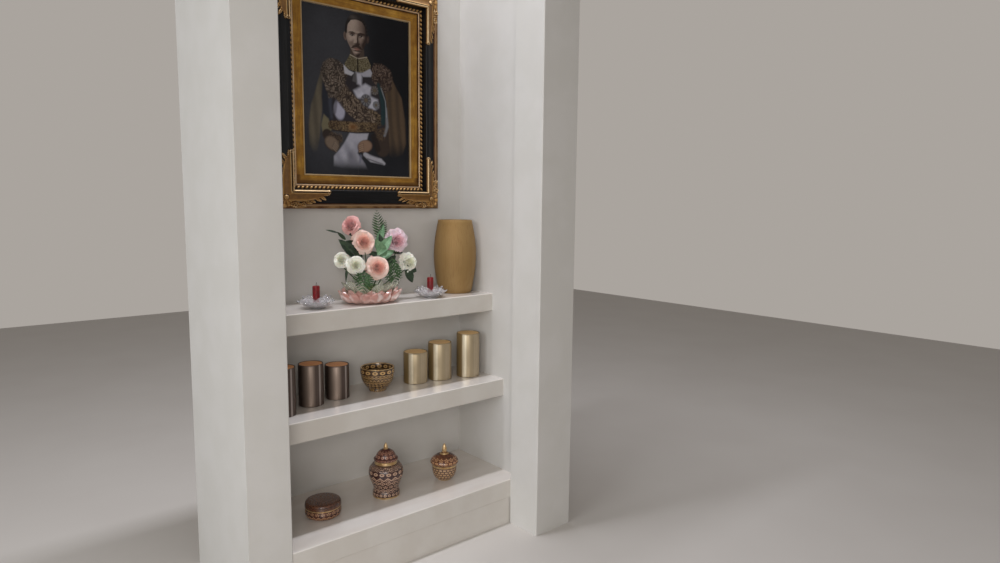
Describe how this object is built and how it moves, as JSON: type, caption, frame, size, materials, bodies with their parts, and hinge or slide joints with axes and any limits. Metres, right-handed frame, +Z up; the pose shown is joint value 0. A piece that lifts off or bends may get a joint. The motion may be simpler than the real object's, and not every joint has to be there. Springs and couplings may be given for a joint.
{
  "type": "household shrine niche",
  "caption": "White plastered wall recess with stepped shelves, a gilt-framed portrait and offerings of vessels, candles and silk flowers, for home worship.",
  "frame": {"origin": "on the floor, under the middle of the plan's outline", "axes": "+Z up, +X to the right and +Y into the wall, seen from the front"},
  "size_m": [1.43, 0.735, 2.6],
  "materials": {
    "wall_plaster": "smooth painted plaster, eggshell",
    "shelf_gloss": "glossy white enamel on plaster",
    "frame_black": "satin black lacquered moulding with a gilt edge",
    "frame_gilt": "aged gold leaf on carved wood",
    "portrait_paint": "printed canvas on board",
    "vase_gold": "brushed gold bronze",
    "pink_glass": "tinted pressed glass",
    "pale_glass": "pale green pressed glass",
    "silk_leaf": "silk leaves and stems",
    "silk_pink": "silk petals",
    "silk_white": "silk petals",
    "crystal": "clear cut crystal",
    "candle_red": "red wax",
    "canister_bronze": "brushed bronze-coloured metal",
    "canister_gold": "brushed gold-coloured metal",
    "lid_amber": "amber wood",
    "lacquer_pattern": "dark brown glaze with a gold pattern"
  },
  "bodies": {
    "root": {"back_wall": "wall_plaster", "left_side_wall": "wall_plaster", "right_side_wall": "wall_plaster", "base_block": "shelf_gloss", "bottom_shelf": "shelf_gloss", "middle_shelf": "shelf_gloss", "top_shelf": "shelf_gloss", "frame_top_rail": "frame_black", "frame_bottom_rail": "frame_black", "frame_left_rail": "frame_black", "frame_right_rail": "frame_black", "liner_top_rail": "frame_gilt", "liner_bottom_rail": "frame_gilt", "liner_left_rail": "frame_gilt", "liner_right_rail": "frame_gilt", "top_left_ornament": "frame_gilt", "top_right_ornament": "frame_gilt", "bottom_left_ornament": "frame_gilt", "bottom_right_ornament": "frame_gilt", "portrait_board": "portrait_paint", "gold_vase": "vase_gold", "flower_bowl": "pink_glass", "flower_cup": "pale_glass", "flower_stems": "silk_leaf", "pink_roses": "silk_pink", "white_roses": "silk_white", "left_candle_dish": "crystal", "right_candle_dish": "crystal", "left_candle": "candle_red", "right_candle": "candle_red", "bronze_canister_1": "canister_bronze", "bronze_canister_2": "canister_bronze", "bronze_canister_3": "canister_bronze", "gold_canister_1": "canister_gold", "gold_canister_2": "canister_gold", "gold_canister_3": "canister_gold", "bronze_lids": "lid_amber", "gold_lids": "lid_amber", "patterned_bowl": "lacquer_pattern", "round_box": "lacquer_pattern", "round_box_lid": "lacquer_pattern", "temple_jar": "lacquer_pattern", "temple_jar_lid": "lacquer_pattern", "small_urn": "lacquer_pattern", "small_urn_lid": "lacquer_pattern"}
  },
  "joints": []
}
